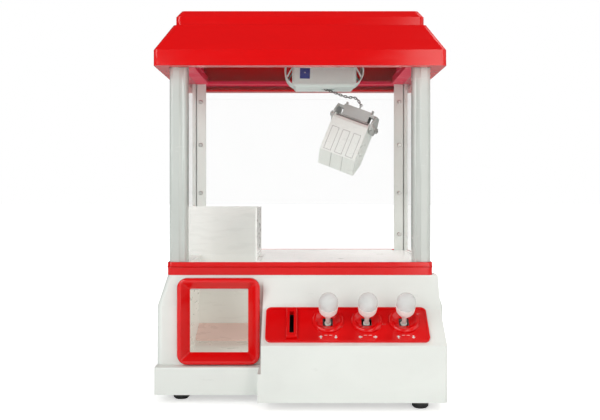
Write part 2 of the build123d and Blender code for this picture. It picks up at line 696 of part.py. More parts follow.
# ---------------------------------------------------------------- roof
def roof_volume(inset):
    """Skirt and hip slopes as one solid, shrunk by inset."""
    half = ROOF_HALF - inset
    deep = ROOF_DEPTH - 2 * inset
    corner = 4.5 - inset
    section = RectangleRounded(2 * half, deep, corner)
    skirt = Pos(0, ROOF_MID_Y, SKIRT_BOTTOM) * extrude(section, SKIRT_TOP - SKIRT_BOTTOM)
    hip = frustum(
        half, ROOF_MID_Y, deep, SKIRT_TOP,
        half - HIP_INSET, ROOF_MID_Y, deep - 2 * HIP_INSET, HIP_TOP - inset, corner,
    )
    return skirt + hip


def roof_shell():
    shell = roof_volume(0) - roof_volume(WALL)
    opening_x = ROOF_HALF - CAP_INSET - 6
    opening_y = ROOF_DEPTH / 2 - CAP_INSET - 6
    shell -= Pos(0, ROOF_MID_Y, 0) * block(
        -opening_x, opening_x, -opening_y, opening_y, HIP_TOP - 10, HIP_TOP + 5,
    )
    section = RectangleRounded(2 * ROOF_HALF - 2, ROOF_DEPTH - 2, 4)
    lip = Pos(0, ROOF_MID_Y, SKIRT_BOTTOM) * extrude(section, LIP_THICK)
    lip -= block(
        -CABINET_HALF - 0.6, CABINET_HALF + 0.6, FRONT_Y - 0.6, BACK_Y + 0.6,
        SKIRT_BOTTOM - 5, SKIRT_BOTTOM + 10,
    )
    for x in (-82.0, 24.0, 82.0):
        lip -= block(x - 3, x + 3, ROOF_FRONT + 5, ROOF_FRONT + 7, SKIRT_BOTTOM - 5, SKIRT_BOTTOM + 5)
    return shell + lip


def cap_volume(inset):
    half = ROOF_HALF - CAP_INSET - inset
    deep = ROOF_DEPTH - 2 * CAP_INSET - 2 * inset
    corner = 5.0 - inset
    section = RectangleRounded(2 * half, deep, corner)
    wall = Pos(0, ROOF_MID_Y, HIP_TOP) * extrude(section, CAP_SHOULDER - HIP_TOP)
    crown = frustum(
        half, ROOF_MID_Y, deep, CAP_SHOULDER,
        half - CAP_CHAMFER, ROOF_MID_Y, deep - 2 * CAP_CHAMFER, OVERALL_HEIGHT - inset, corner,
    )
    return wall + crown


def roof_cap():
    return cap_volume(0) - cap_volume(WALL)


def top_frame():
    ring = Pos(0, ROOF_MID_Y, COLUMN_TOP) * extrude(
        RectangleRounded(2 * ROOF_HALF - 2 * WALL - 0.4, ROOF_DEPTH - 2 * WALL - 0.4, 2), 4.0)
    ring -= block(*FRAME_OPENING, COLUMN_TOP - 1, COLUMN_TOP + 10)
    return ring


# ---------------------------------------------------------------- crane rails and bridge
def side_rails():
    rails = []
    middle = AXLE_Y
    length = 2 * min(middle - RAIL_Y[0], RAIL_Y[1] - middle)
    outline = rack_outline(length, 1.25 * MODULE + 0.5, 0.0)
    for side in (-1, 1):
        x = side * RAIL_X
        bar = block(x - 6, x + 6, RAIL_Y[0], RAIL_Y[1], COLUMN_TOP + 4.0, RAIL_TOP)
        points = [(middle + u, RAIL_TOP + 1.25 * MODULE + v) for u, v in outline]
        rack = prism_x(points, x - 3, x + 3)
        rails.append(bar + rack)
    return Compound(rails)


def bridge_frame():
    y0 = CRANE_Y + TRUCK[0]
    y1 = CRANE_Y + TRUCK[1]
    top = ROD_Z + 5
    frame = None
    for side in (-1, 1):
        x = side * RAIL_X
        inner0, inner1 = sorted((x - side * 6.5, x - side * 9.5))
        cheek = block(inner0, inner1, y0, y1, RAIL_TOP - 6, top)
        shoe0, shoe1 = sorted((x - side * 3.6, x - side * 9.5))
        shoe = block(shoe0, shoe1, y0, y1, RAIL_TOP + 0.3, top)
        out0, out1 = sorted((x + side * 3.6, x + side * 6.5))
        outer = block(out0, out1, y0, y1, RAIL_TOP + 0.3, top)
        across0, across1 = sorted((x - side * 9.5, x + side * 6.5))
        front = block(across0, across1, y0, CRANE_Y + 16, RAIL_TOP + 3.0, top)
        rear = block(across0, across1, y1 - 2, y1, RAIL_TOP + 3.0, top)
        truck = cheek + shoe + outer + front + rear
        for offset in (-ROD_OFFSET, ROD_OFFSET):
            truck -= rod("X", (CRANE_Y + offset, ROD_Z), ROD_RADIUS, across0, across1)
        truck -= rod("X", (AXLE_Y, AXLE_Z), 2.0 + RUN_CLEAR, x - 20, x + 20)
        frame = truck if frame is None else frame + truck
    bar = block(-RAIL_X + 8, RAIL_X - 8, y0 - 8, y0 - 2, RACK_BACK, PINION_Z - PINION_PITCH - 1.0)
    arms = block(-RAIL_X + 6.6, -RAIL_X + 12, y0 - 8, y0 + 1, RACK_BACK, top)
    arms += block(RAIL_X - 12, RAIL_X - 6.6, y0 - 8, y0 + 1, RACK_BACK, top)
    length = 2 * (RAIL_X - 13)
    outline = rack_outline(length, 1.25 * MODULE + 0.4, PINION_X)
    points = [(u, PINION_Z - PINION_PITCH + v) for u, v in outline if abs(u) <= RAIL_X - 8]
    rack = prism_y(points, y0 - 8, y0 - 2)
    return frame + bar + arms + rack


def bridge_rods():
    rods = []
    for offset in (-ROD_OFFSET, ROD_OFFSET):
        rods.append(rod("X", (CRANE_Y + offset, ROD_Z), ROD_RADIUS, -RAIL_X - 3, RAIL_X + 3))
    return Compound(rods)


def bridge_motor():
    front = CARRIAGE_Y[1] + 0.8
    gearbox = block(-118, -98, front, AXLE_Y + 10, 396, 414)
    can = rod("X", (AXLE_Y + 4, 424.0), 9.0, -118, -84)
    saddle = block(-118, -98, front, AXLE_Y + 9, 414, 420)
    arm = block(-124.5, -117, front, AXLE_Y + 8, 396, 406)
    motor = gearbox + saddle + can + arm
    return motor - rod("X", (AXLE_Y, AXLE_Z), 2.0 + RUN_CLEAR, -130, -80)


def bridge_axle():
    shaft = rod("X", (AXLE_Y, AXLE_Z), 2.0, -RAIL_X - 6.3, RAIL_X + 6.3)
    outline = gear_outline(AXLE_TEETH, -math.pi / 2)
    for side in (-1, 1):
        points = [(AXLE_Y + u, AXLE_Z + v) for u, v in outline]
        shaft += prism_x(points, side * RAIL_X - 3.0, side * RAIL_X + 3.0)
    return shaft


# ---------------------------------------------------------------- carriage
def carriage_body():
    x0, x1 = CARRIAGE_X
    y0, y1 = CARRIAGE_Y
    body = block(x0, x1, y0, y1, CARRIAGE_SPLIT, CARRIAGE_TOP)
    body = fillet(body.edges().filter_by(Axis.Z), 2.5)
    body -= block(x0 + THIN, x1 - THIN, y0 + THIN, y1 - THIN, CARRIAGE_SPLIT - 1, CARRIAGE_TOP - THIN)
    for x in (x0 + 5, x1 - 5):
        for offset in (-ROD_OFFSET, ROD_OFFSET):
            y = CRANE_Y + offset
            body += block(x - 4, x + 4, y - 4.5, y + 4.5, CARRIAGE_TOP, ROD_Z + 4.5)
            body -= rod("X", (y, ROD_Z), ROD_RADIUS + RUN_CLEAR, x - 5, x + 5)
    mount = block(PINION_X - 12, PINION_X + 12, y0 + 1.0, y0 + 3.0, CARRIAGE_TOP - 1, PINION_Z + 11)
    mount -= rod("Y", (PINION_X, PINION_Z), 3.0, y0 - 1, y0 + 5)
    guide = rod("Z", (CHAIN_X, CRANE_Y), 4.6, CARRIAGE_TOP, CHAIN_TOP + 3.5)
    body += mount + guide
    body -= rod("Z", (CHAIN_X, CRANE_Y), 3.2, CARRIAGE_TOP - 5, CHAIN_TOP + 5)
    return body


def carriage_tray():
    x0, x1 = CARRIAGE_X
    y0, y1 = CARRIAGE_Y
    tray = block(x0, x1, y0, y1, CARRIAGE_BOTTOM, CARRIAGE_SPLIT)
    tray = chamfer(tray.edges().group_by(Axis.Z)[0], 2.8)
    floor = CARRIAGE_BOTTOM + THIN + 1.2
    tray -= block(x0 + THIN, x1 - THIN, y0 + THIN, y1 - THIN, floor, CARRIAGE_SPLIT + 1)
    slot = block(CHAIN_X - 4, CHAIN_X + 12, CRANE_Y - 4, CRANE_Y + 4, CARRIAGE_BOTTOM - 2, CARRIAGE_SPLIT)
    return tray - slot


def bracket_face(inset):
    """Quarter-round gusset outline beside the right end wall, shrunk by inset."""
    x = CARRIAGE_X[1] + inset
    low = CARRIAGE_SPLIT - 2.5 + inset
    high = CARRIAGE_TOP - 2.0 - inset
    reach = 10.5 - 2 * inset
    rise = 20.0 - inset
    wall = Line((x, 0, high), (x, 0, low))
    swell = ThreePointArc(
        (x, 0, low), (x + reach * 0.72, 0, low + rise * 0.30), (x + reach, 0, low + rise))
    edge = Line((x + reach, 0, low + rise), (x + reach, 0, high))
    top = Line((x + reach, 0, high), (x, 0, high))
    return make_face([wall, swell, edge, top])


def carriage_bracket(y0, y1, strut):
    """An open gusset with one diagonal strut, between two depths."""
    ring = extrude(bracket_face(0.0), y1 - y0, dir=(0, 1, 0)) - Pos(0, -1, 0) * extrude(
        bracket_face(1.6), y1 - y0 + 2, dir=(0, 1, 0))
    if strut:
        x = CARRIAGE_X[1]
        low = CARRIAGE_SPLIT
        outline = [(x + 1, low + 20), (x + 1, low + 17.5), (x + 6.8, low + 6), (x + 8.0, low + 8)]
        brace = prism_y(outline, 0, y1 - y0)
        ring += brace
    return Pos(0, y0, 0) * ring


def carriage_brackets():
    front = CARRIAGE_Y[0] + 4.0
    back = CARRIAGE_Y[1] - 4.0
    right = carriage_bracket(front, front + 2.0, True) + carriage_bracket(back - 2.0, back, True)
    right += carriage_bracket(front, back, False)
    middle = (CARRIAGE_X[0] + CARRIAGE_X[1]) / 2
    left = mirror(right, Plane.YZ.offset(middle))
    return Compound([right, left])


def carriage_label():
    y0 = CARRIAGE_Y[0]
    plate = Pos(6.0, y0 - 0.15, 376.4) * Rot(Y=1.5) * Box(12.2, 0.3, 12.6)
    return plate


def carriage_motor():
    y0 = CARRIAGE_Y[0] + 3.0
    can = rod("Y", (PINION_X, PINION_Z), 8.9, y0, y0 + 26)
    nose = rod("Y", (PINION_X, PINION_Z), 2.9, y0 - 2.0, y0)
    bore = rod("Y", (PINION_X, PINION_Z), 1.5 + RUN_CLEAR, y0 - 3, y0 + 8)
    return can + nose - bore


def carriage_pinion():
    y_rack = CRANE_Y + TRUCK[0] - 8
    shaft = rod("Y", (PINION_X, PINION_Z), 1.5, y_rack + 0.5, CARRIAGE_Y[0] + 9)
    outline = gear_outline(PINION_TEETH, -math.pi / 2)
    points = [(PINION_X + u, PINION_Z + v) for u, v in outline]
    return shaft + prism_y(points, y_rack + 0.5, y_rack + 5.5)


def hoist_wheel():
    rim = rod("Y", (WHEEL_X, WHEEL_Z), WHEEL_RADIUS, CRANE_Y - 2.5, CRANE_Y + 2.5)
    for i in range(6):
        angle = 2 * math.pi * i / 6
        x = WHEEL_X + 5 * math.cos(angle)
        z = WHEEL_Z + 5 * math.sin(angle)
        rim -= rod("Y", (x, z), 1.3, CRANE_Y - 5, CRANE_Y + 5)
    shaft = rod("Y", (WHEEL_X, WHEEL_Z), 1.5, CRANE_Y - 10, CRANE_Y + 13)
    return rim + shaft


def hoist_motor():
    y1 = CARRIAGE_Y[1] - THIN
    can = rod("Y", (WHEEL_X, WHEEL_Z), 9.5, CRANE_Y + 6, y1)
    floor = CARRIAGE_BOTTOM + THIN + 1.3
    bearing = block(WHEEL_X - 4, WHEEL_X + 4, CRANE_Y - 9, CRANE_Y - 5, floor, WHEEL_Z + 4)
    bore = rod("Y", (WHEEL_X, WHEEL_Z), 1.5 + RUN_CLEAR, CRANE_Y - 11, CRANE_Y + 14)
    return Compound([can - bore, bearing - bore])


# ---------------------------------------------------------------- chain
def link_solid():
    """One oval link, long side along Z, opening facing Y."""
    half = LINK_GAP / 2 + LINK_WIRE
    straight = LINK_INNER / 2 + LINK_WIRE - half
    right = Line((half, 0, -straight), (half, 0, straight))
    top = ThreePointArc((half, 0, straight), (0, 0, straight + half), (-half, 0, straight))
    left = Line((-half, 0, straight), (-half, 0, -straight))
    bottom = ThreePointArc((-half, 0, -straight), (0, 0, -straight - half), (half, 0, -straight))
    path = Wire([right.edge(), top.edge(), left.edge(), bottom.edge()])
    section = Plane(origin=(half, 0, 0), z_dir=(0, 0, 1)) * Circle(LINK_WIRE)
    return sweep(section, path=path)


def chain_stations():
    """Centre and lean of every link, from the claw's eye up to the stored end."""
    route = [Vector(x, CRANE_Y, z) for x, z in reversed(CHAIN_DROP)]
    route.append(Vector(CHAIN_X, CRANE_Y, CHAIN_TOP + 10))
    lengths = [(b - a).length for a, b in zip(route, route[1:])]

    def along(distance):
        for start, end, length in zip(route, route[1:], lengths):
            if distance <= length:
                return start + (end - start) * (distance / length)
            distance -= length
        return route[-1]

    half = LINK_INNER / 2 + LINK_WIRE
    stations = []
    distance = half
    while True:
        centre = along(distance)
        if centre.Z + half > CHAIN_TOP:
            break
        low = along(max(distance - LINK_PITCH / 2, 0))
        high = along(distance + LINK_PITCH / 2)
        lean = math.degrees(math.atan2(high.X - low.X, high.Z - low.Z))
        stations.append((centre, lean))
        distance += LINK_PITCH
    return stations


def hoist_chain():
    link = link_solid()
    links = []
    for index, (centre, lean) in enumerate(chain_stations()):
        turn = 90 if index % 2 == 0 else 0
        links.append(Pos(centre.X, centre.Y, centre.Z) * Rot(Y=lean) * Rot(Z=turn) * link)
    return Compound(links)


# ---------------------------------------------------------------- claw
EYE = Pos(CLAW_EYE[0], CRANE_Y, CLAW_EYE[1])
CLAW = EYE * Rot(Y=CLAW_ROLL) * Rot(Z=CLAW_YAW)


def claw_head():
    eye = Rot(X=90) * (Cylinder(2.1, 1.1) - Cylinder(1.1, 4))
    neck = Pos(0, 0, -3.2) * Box(1.8, 1.1, 3.4)
    lug = Rot(Y=CLAW_ROLL) * (eye + neck)
    top = Pos(0, 0, -6.2) * Box(36, 9, 3.2)
    top = fillet(top.edges().filter_by(Axis.X), 1.2)
    wall_front = Pos(0, -6.5, -13.5) * Box(34, 1.6, 13)
    wall_rear = Pos(0, 6.5, -13.5) * Box(34, 1.6, 13)
    top_pad = Pos(0, 0, -6.6) * Box(36, 14.6, 2.4)
    lower = Pos(0, 0, -19.6) * Box(40, 14.6, 2.0)
    shell = top + wall_front + wall_rear + top_pad + lower
    for side in (-1, 1):
        ear = make_face(Polyline(
            (0, -8, -7.5), (0, 8, -7.5), (0, 15, -17), (0, 15, -26), (0, 10, -30),
            (0, -10, -30), (0, -15, -26), (0, -15, -17), close=True))
        x0 = min(side * (CLAW_HALF + 0.6), side * (CLAW_HALF + 2.8))
        plate = Pos(x0, 0, 0) * extrude(ear, 2.2, dir=(1, 0, 0))
        bridge = Pos(side * 21.0, 0, -9.2) * Box(9.4, 14.6, 3.4)
        boss_front = Pos(side * (CLAW_HALF + 3.6), -JAW_PIN[0], JAW_PIN[1]) * Rot(Y=90) * Cylinder(3.4, 3.4)
        boss_rear = Pos(side * (CLAW_HALF + 3.6), JAW_PIN[0], JAW_PIN[1]) * Rot(Y=90) * Cylinder(3.4, 3.4)
        horn = Pos(side * 17.4, 0, -3.6) * Box(1.8, 5, 4.0)
        shell += plate + bridge + boss_front + boss_rear + horn
    for way in (-1, 1):
        shell -= Pos(0, way * JAW_PIN[0], JAW_PIN[1]) * Rot(Y=90) * Cylinder(JAW_PIN_RADIUS, 80)
    return EYE * lug + CLAW * shell


def claw_pins():
    pins = []
    for way in (-1, 1):
        pins.append(CLAW * Pos(0, way * JAW_PIN[0], JAW_PIN[1]) * Rot(Y=90) * Cylinder(JAW_PIN_RADIUS, 60))
    rail = CLAW * Pos(0, -9.2, -19.8) * Rot(Y=90) * Cylinder(1.2, 39)
    return Compound(pins + [rail])


def jaw(way):
    """One half of the bucket; way is -1 for the front half and +1 for the rear half."""
    wall = 1.8
    outer_y = CLAW_DEPTH
    tip_y = 0.35
    outline = [
        (way * outer_y, JAW_TOP), (way * outer_y, JAW_CREASE), (way * (tip_y + 2.2), JAW_BOTTOM),
        (way * tip_y, JAW_BOTTOM), (way * tip_y, JAW_TOP + 1), (way * 5.0, JAW_TOP + 3.5),
        (way * 7.4, JAW_PIN[1] + 3.0), (way * 14.0, JAW_PIN[1] + 3.0), (way * outer_y, JAW_TOP + 1),
    ]
    solid = prism_x(outline, -CLAW_HALF, CLAW_HALF)
    hollow_outline = [
        (way * (outer_y - wall), JAW_TOP + 12), (way * (outer_y - wall), JAW_CREASE + 0.8),
        (way * (tip_y + 1.6), JAW_BOTTOM + 2.0), (way * (tip_y - 8), JAW_BOTTOM + 2.0),
        (way * (tip_y - 8), JAW_TOP + 12),
    ]
    solid -= prism_x(hollow_outline, -CLAW_HALF + wall, CLAW_HALF - wall)
    # three tine panels pressed into the outer face
    for i in (-1, 0, 1):
        x = i * 14.6
        groove = Pos(x, way * outer_y, (JAW_TOP + JAW_CREASE) / 2 - 4) * Box(9.6, 0.8, 30)
        groove -= Pos(x, way * outer_y, (JAW_TOP + JAW_CREASE) / 2 - 4) * Box(8.6, 2, 29)
        solid -= groove
    for i in (-1, 1):
        solid -= Pos(i * 7.6, way * outer_y, JAW_CREASE - 9) * Box(0.7, 60, 18) & prism_x(
            [(way * (outer_y + 5), JAW_CREASE), (way * (outer_y - 0.5), JAW_CREASE),
             (way * (tip_y + 1.9), JAW_BOTTOM), (way * (outer_y + 5), JAW_BOTTOM)], -30, 30)
    solid -= Pos(0, way * JAW_PIN[0], JAW_PIN[1]) * Rot(Y=90) * Cylinder(JAW_PIN_RADIUS + RUN_CLEAR, 80)
    return CLAW * solid


# ---------------------------------------------------------------- write every sub-part
def build_parts():
    parts = {
        "base_shell": base_shell(),
        "base_plate": base_plate(),
        "rubber_feet": rubber_feet(),
        "case_screws": Compound(base_screws() + post_screws()),
        "base_band": base_band(),
        "prize_bezel": prize_bezel(),
        "prize_tray": prize_tray(),
        "chute_ramp": chute_ramp(),
        "prize_bed": prize_bed(),
        "chute_guard": chute_guard(),
        "control_panel": control_panel(),
        "coin_slot_block": coin_slot_block(),
        "coin_channel": coin_channel(),
        "coin_box": coin_box(),
        "underside_hatches": Compound([hatch(COIN_HATCH), hatch(BATTERY_HATCH)]),
        "stick_brackets": stick_brackets(),
        "stick_pins": stick_pins(),
        "stick_switches": stick_switches(),
        "battery_box": battery_box(),
        "battery_cells": battery_cells(),
        "battery_contacts": battery_contacts(),
        "circuit_board": circuit_board(),
        "speaker": speaker(),
        "power_jack": power_jack(),
        "power_switch_case": power_switch_case(),
        "power_switch_knob": power_switch_knob(),
        "front_columns": Compound([front_column(-1), front_column(1)]),
        "rear_posts": Compound([rear_post(-1), rear_post(1)]),
        "front_window": front_window(),
        "side_windows": Compound([side_window(-1), side_window(1)]),
        "rear_door": rear_door(),
        "door_knob": door_knob(),
        "door_pins": door_pins(),
        "roof_shell": roof_shell(),
        "roof_cap": roof_cap(),
        "top_frame": top_frame(),
        "side_rails": side_rails(),
        "bridge_frame": bridge_frame(),
        "bridge_rods": bridge_rods(),
        "bridge_motor": bridge_motor(),
        "bridge_axle": bridge_axle(),
        "carriage_body": carriage_body(),
        "carriage_tray": carriage_tray(),
        "carriage_brackets": carriage_brackets(),
        "carriage_label": carriage_label(),
        "carriage_motor": carriage_motor(),
        "carriage_pinion": carriage_pinion(),
        "hoist_motor": hoist_motor(),
        "hoist_wheel": hoist_wheel(),
        "hoist_chain": hoist_chain(),
        "claw_head": claw_head(),
        "claw_pins": claw_pins(),
        "jaw_front": jaw(-1),
        "jaw_rear": jaw(1),
    }
    for index in range(3):
        parts[f"stick_shaft_{index + 1}"] = stick_shaft(index)
        parts[f"stick_knob_{index + 1}"] = stick_knob(index)
    return parts


os.makedirs("parts", exist_ok=True)
for name, shape in build_parts().items():
    export_step(shape, f"parts/{name}.step")
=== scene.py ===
import json
import math

import bmesh
import bpy
from mathutils import Matrix, Vector


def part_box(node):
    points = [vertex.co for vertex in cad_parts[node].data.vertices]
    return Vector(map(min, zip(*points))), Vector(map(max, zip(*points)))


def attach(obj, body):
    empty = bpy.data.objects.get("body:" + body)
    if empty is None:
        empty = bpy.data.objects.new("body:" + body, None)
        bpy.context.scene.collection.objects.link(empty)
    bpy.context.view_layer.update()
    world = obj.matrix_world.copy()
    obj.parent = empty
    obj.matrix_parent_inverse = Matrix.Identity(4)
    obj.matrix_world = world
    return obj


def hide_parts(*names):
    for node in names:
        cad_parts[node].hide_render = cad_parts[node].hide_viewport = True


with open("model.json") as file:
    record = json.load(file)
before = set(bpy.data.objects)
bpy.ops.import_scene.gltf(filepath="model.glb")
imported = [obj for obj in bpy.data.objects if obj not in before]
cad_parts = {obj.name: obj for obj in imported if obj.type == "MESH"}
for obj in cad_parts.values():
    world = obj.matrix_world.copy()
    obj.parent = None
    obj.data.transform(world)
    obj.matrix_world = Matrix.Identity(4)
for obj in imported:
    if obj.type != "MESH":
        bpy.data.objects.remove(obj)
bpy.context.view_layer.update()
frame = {"nodes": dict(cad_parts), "record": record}
nodes = frame["nodes"]
MM = 0.001

# ---------------------------------------------------------------- colours, linear
RED = (0.76, 0.001, 0.002)
# red plastic, tinted purple as painted shade for the parts inside the roof
RED_DEEP = (0.80, 0.010, 0.065)
WHITE = (0.835, 0.875, 0.84)
WHITE_INNER = (0.74, 0.75, 0.70)
GREY = (0.58, 0.62, 0.59)
POST_GREY = (0.78, 0.82, 0.78)
CLAW = (0.81, 0.86, 0.82)
CLAW_DARK = (0.44, 0.46, 0.44)
STEEL = (0.56, 0.56, 0.54)
BLACK = (0.018, 0.018, 0.02)
BAY = (0.80, 0.80, 0.75)
RAMP_PAINTED_BOUNCE = (0.84, 0.62, 0.56)               # white plastic with painted red bounce light from the bezel in front of it
BED = (0.83, 0.85, 0.82)
CARRIAGE = (0.73, 0.85, 0.81)
GUARD = (0.90, 0.92, 0.89)
FROST = (0.86, 0.81, 0.78)
RUBBER_DUST = (0.16, 0.16, 0.15)

# texture scales, per metre
FLOW_SCALE = 7.0                        # flow marks of the moulding
DUST_SCALE = 55.0
SCUFF_SCALE = 34.0
WAVE_SCALE = 26.0                       # slow unevenness of a moulded face
EDGE_RADIUS = 0.7 * MM                  # how far wear reaches from an edge
GROOVE_SHADE_REACH = 1.2 * MM                      # how far the painted shade reaches into a groove

# sockets of a colour mix node
MIX_FACTOR, MIX_FIRST, MIX_SECOND, MIX_RESULT = 0, 6, 7, 2


# ---------------------------------------------------------------- materials
def shader(name):
    """A material with its Principled BSDF, ready for nodes."""
    material = bpy.data.materials.new(name)
    material.use_nodes = True
    tree = material.node_tree
    bsdf = tree.nodes["Principled BSDF"]
    coords = tree.nodes.new("ShaderNodeTexCoord")
    return material, tree, bsdf, coords


def noise(tree, coords, scale, detail=3.0, stretch=(1, 1, 1), distortion=0.0):
    mapping = tree.nodes.new("ShaderNodeMapping")
    mapping.inputs["Scale"].default_value = stretch
    tree.links.new(coords.outputs["Object"], mapping.inputs["Vector"])
    texture = tree.nodes.new("ShaderNodeTexNoise")
    texture.inputs["Scale"].default_value = scale
    texture.inputs["Detail"].default_value = detail
    texture.inputs["Distortion"].default_value = distortion
    tree.links.new(mapping.outputs["Vector"], texture.inputs["Vector"])
    return texture.outputs["Fac"]


def spread(tree, value, low, high, start=0.3, stop=0.7):
    """Maps a texture value to a range."""
    node = tree.nodes.new("ShaderNodeMapRange")
    node.inputs["From Min"].default_value = start
    node.inputs["From Max"].default_value = stop
    node.inputs["To Min"].default_value = low
    node.inputs["To Max"].default_value = high
    tree.links.new(value, node.inputs["Value"])
    return node.outputs["Result"]


def mix_colour(tree, factor, first, second):
    node = tree.nodes.new("ShaderNodeMix")
    node.data_type = "RGBA"
    if hasattr(factor, "is_output"):
        tree.links.new(factor, node.inputs[MIX_FACTOR])
    else:
        node.inputs[MIX_FACTOR].default_value = factor
    for socket, value in ((node.inputs[MIX_FIRST], first), (node.inputs[MIX_SECOND], second)):
        if hasattr(value, "is_output"):
            tree.links.new(value, socket)
        else:
            socket.default_value = (*value, 1.0)
    return node.outputs[MIX_RESULT]


def add_bump(tree, bsdf, height, strength, distance, chain=None):
    bump = tree.nodes.new("ShaderNodeBump")
    bump.inputs["Strength"].default_value = strength
    bump.inputs["Distance"].default_value = distance
    tree.links.new(height, bump.inputs["Height"])
    if chain is not None:
        tree.links.new(chain, bump.inputs["Normal"])
    tree.links.new(bump.outputs["Normal"], bsdf.inputs["Normal"])
    return bump.outputs["Normal"]


def shade(colour, factor):
    return tuple(min(1.0, c * factor) for c in colour)


def edge_mask(tree, start, stop):
    """White along the edges, where the rounded normal leaves the face's own normal."""
    geometry = tree.nodes.new("ShaderNodeNewGeometry")
    rounded = tree.nodes.new("ShaderNodeBevel")
    rounded.samples = 4
    rounded.inputs["Radius"].default_value = EDGE_RADIUS
    agree = tree.nodes.new("ShaderNodeVectorMath")
    agree.operation = "DOT_PRODUCT"
    tree.links.new(geometry.outputs["Normal"], agree.inputs[0])
    tree.links.new(rounded.outputs["Normal"], agree.inputs[1])
    return spread(tree, agree.outputs["Value"], 1.0, 0.0, start, stop)


def groove_shade_mask(tree, reach):
    """White down in narrow grooves, where painted shade darkens the colour."""
    hollow = tree.nodes.new("ShaderNodeAmbientOcclusion")
    hollow.samples = 8
    hollow.only_local = True
    hollow.inputs["Distance"].default_value = reach
    return spread(tree, hollow.outputs["AO"], 1.0, 0.0, 0.5, 0.9)


def plastic(name, colour, rough=0.3, grain=0.15, grain_scale=1200.0, wear=0.5, coat=0.0,
            specular=0.5, glow=0.0, dirt=0.10, crevice=0.0):
    """Moulded plastic: soft flow marks, fine grain, scuffs, and lighter worn edges."""
    material, tree, bsdf, coords = shader(name)
    flow = noise(tree, coords, FLOW_SCALE, 4.0, (1, 1, 2.2), 0.6)
    base = mix_colour(tree, spread(tree, flow, 0, 1), shade(colour, 0.955), shade(colour, 1.03))
    dust = noise(tree, coords, DUST_SCALE, 6.0)
    base = mix_colour(tree, spread(tree, dust, 0.0, dirt, 0.55, 0.85), base, shade(colour, 0.82))
    worn = edge_mask(tree, 0.75, 0.97)
    lighter = tuple(c + (1 - c) * wear * 0.35 for c in colour)
    base = mix_colour(tree, worn, base, lighter)
    # painted shade: narrow grooves darkened to about a third of the colour
    if crevice:
        base = mix_colour(tree, groove_shade_mask(tree, crevice), base, shade(colour, 0.35))
    tree.links.new(base, bsdf.inputs["Base Color"])
    scuff = noise(tree, coords, SCUFF_SCALE, 8.0, (1, 1, 5.0), 0.4)
    gloss = spread(tree, scuff, rough * 0.8, min(1.0, rough * 1.35), 0.3, 0.75)
    tree.links.new(gloss, bsdf.inputs["Roughness"])
    fine = noise(tree, coords, grain_scale, 2.0)
    normal = add_bump(tree, bsdf, fine, grain, 0.00008)
    wave = noise(tree, coords, WAVE_SCALE, 2.0)
    add_bump(tree, bsdf, wave, 0.25, 0.0004, normal)
    bsdf.inputs["Specular IOR Level"].default_value = specular
    bsdf.inputs["Coat Weight"].default_value = coat
    bsdf.inputs["Coat Roughness"].default_value = 0.08
    # painted light: a little glow in the part's own colour, standing for light that comes through thin pale
    # plastic
    bsdf.inputs["Emission Color"].default_value = (*colour, 1.0)
    bsdf.inputs["Emission Strength"].default_value = glow
    return material


def metal(name, colour, rough=0.28, brush=(1, 1, 18), wear=0.4):
    """Plated or drawn metal with brush lines and tarnish."""
    material, tree, bsdf, coords = shader(name)
    tarnish = noise(tree, coords, 90.0, 6.0)
    base = mix_colour(tree, spread(tree, tarnish, 0, 1, 0.35, 0.75), colour, shade(colour, 0.62))
    polished = tuple(c + (1 - c) * wear for c in colour)
    base = mix_colour(tree, edge_mask(tree, 0.75, 0.97), base, polished)
    tree.links.new(base, bsdf.inputs["Base Color"])
    bsdf.inputs["Metallic"].default_value = 1.0
    lines = noise(tree, coords, 400.0, 4.0, brush)
    tree.links.new(spread(tree, lines, rough * 0.7, rough * 1.5), bsdf.inputs["Roughness"])
    add_bump(tree, bsdf, lines, 0.2, 0.00005)
    return material


def rubber(name, colour):
    material, tree, bsdf, coords = shader(name)
    dust = noise(tree, coords, 130.0, 6.0)
    base = mix_colour(tree, spread(tree, dust, 0, 0.5, 0.45, 0.8), colour, RUBBER_DUST)
    tree.links.new(base, bsdf.inputs["Base Color"])
    tree.links.new(spread(tree, dust, 0.45, 0.75), bsdf.inputs["Roughness"])
    add_bump(tree, bsdf, noise(tree, coords, 1800.0, 3.0), 0.35, 0.0001)
    return material


def clear_sheet(name, tint, face_on=0.012, glancing=0.5):
    """A clear acrylic sheet: almost open face on, tinted and brighter at a glancing angle."""
    material, tree, bsdf, coords = shader(name)
    smear = noise(tree, coords, 11.0, 5.0, (1, 1, 0.6), 1.2)
    stained = mix_colour(tree, spread(tree, smear, 0, 1), tint, shade(tint, 0.92))
    tree.links.new(stained, bsdf.inputs["Base Color"])
    layer = tree.nodes.new("ShaderNodeLayerWeight")
    layer.inputs["Blend"].default_value = 0.25
    cover = spread(tree, layer.outputs["Facing"], face_on, glancing, 0.35, 1.0)
    haze = tree.nodes.new("ShaderNodeMath")
    haze.operation = "ADD"
    tree.links.new(spread(tree, smear, 0.0, 0.008, 0.45, 0.8), haze.inputs[0])
    tree.links.new(cover, haze.inputs[1])
    tree.links.new(haze.outputs["Value"], bsdf.inputs["Alpha"])
    tree.links.new(spread(tree, smear, 0.03, 0.12), bsdf.inputs["Roughness"])
    bsdf.inputs["Specular IOR Level"].default_value = 0.5
    return material


def clear_ball(name):
    """Clear polished plastic with faint flow lines."""
    material, tree, bsdf, coords = shader(name)
    flow = noise(tree, coords, 60.0, 3.0, (1, 1, 2), 1.0)
    body = mix_colour(tree, spread(tree, flow, 0, 1), (0.97, 0.98, 0.97), (0.90, 0.91, 0.90))
    tree.links.new(body, bsdf.inputs["Base Color"])
    bsdf.inputs["Transmission Weight"].default_value = 0.35
    bsdf.inputs["IOR"].default_value = 1.2
    tree.links.new(spread(tree, flow, 0.02, 0.07), bsdf.inputs["Roughness"])
    add_bump(tree, bsdf, noise(tree, coords, 300.0, 2.0), 0.05, 0.0001)
    return material


